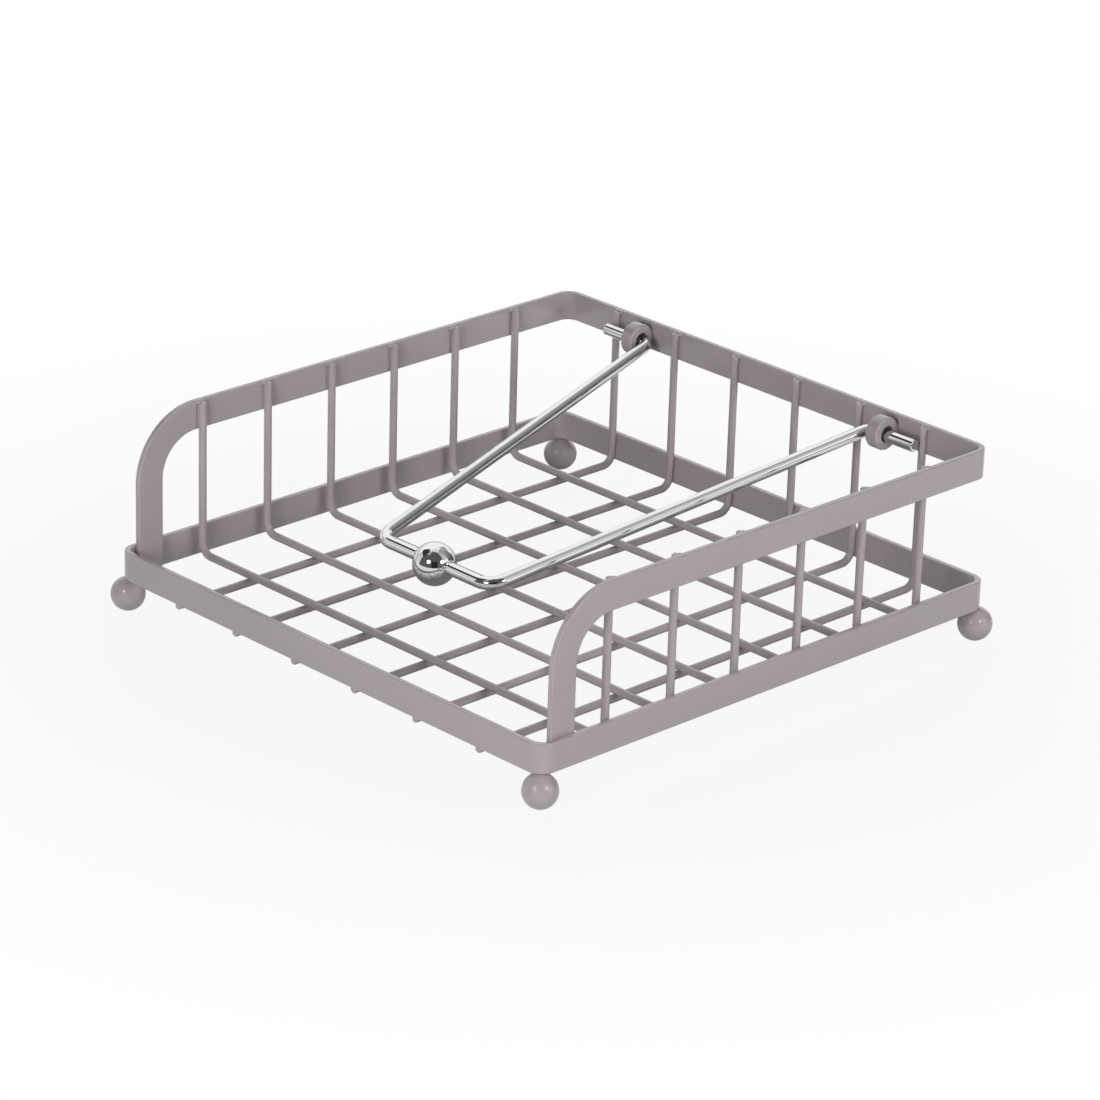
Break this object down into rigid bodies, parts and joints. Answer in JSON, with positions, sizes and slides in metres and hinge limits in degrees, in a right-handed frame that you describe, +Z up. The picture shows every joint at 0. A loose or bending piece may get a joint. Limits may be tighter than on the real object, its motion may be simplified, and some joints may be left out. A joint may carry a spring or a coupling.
{
  "type": "napkin holder",
  "caption": "Low square wire tray for a flat stack of paper napkins, on ball feet, with a hinged wire arm that presses the stack down with a ball.",
  "frame": {"origin": "middle of the footprint, on the surface that the feet stand on", "axes": "+Z up, +X along the open front to the right, +Y from the open front to the back rail"},
  "size_m": [0.1964, 0.1964, 0.0632],
  "materials": {
    "paint": "satin taupe-grey powder coat",
    "chrome": "bright polished chrome plate"
  },
  "bodies": {
    "frame": {"base_ring": "paint", "upper_rail": "paint", "side_wire_1": "paint", "side_wire_2": "paint", "side_wire_3": "paint", "side_wire_4": "paint", "side_wire_5": "paint", "side_wire_6": "paint", "back_wire_1": "paint", "back_wire_2": "paint", "back_wire_3": "paint", "back_wire_4": "paint", "back_wire_5": "paint", "back_wire_6": "paint", "foot_front_left": "paint", "foot_front_right": "paint", "foot_back_left": "paint", "foot_back_right": "paint", "left_collar": "paint", "right_collar": "paint"},
    "arm": {"press_arm": "chrome", "weight_ball": "chrome"}
  },
  "joints": [
    {"name": "arm_hinge", "type": "hinge", "parent": "frame", "child": "arm", "pos_m": [0, 0.0879, 0.0575], "axis": [-1, 0, 0], "range_deg": [-7, 122.5]}
  ]
}
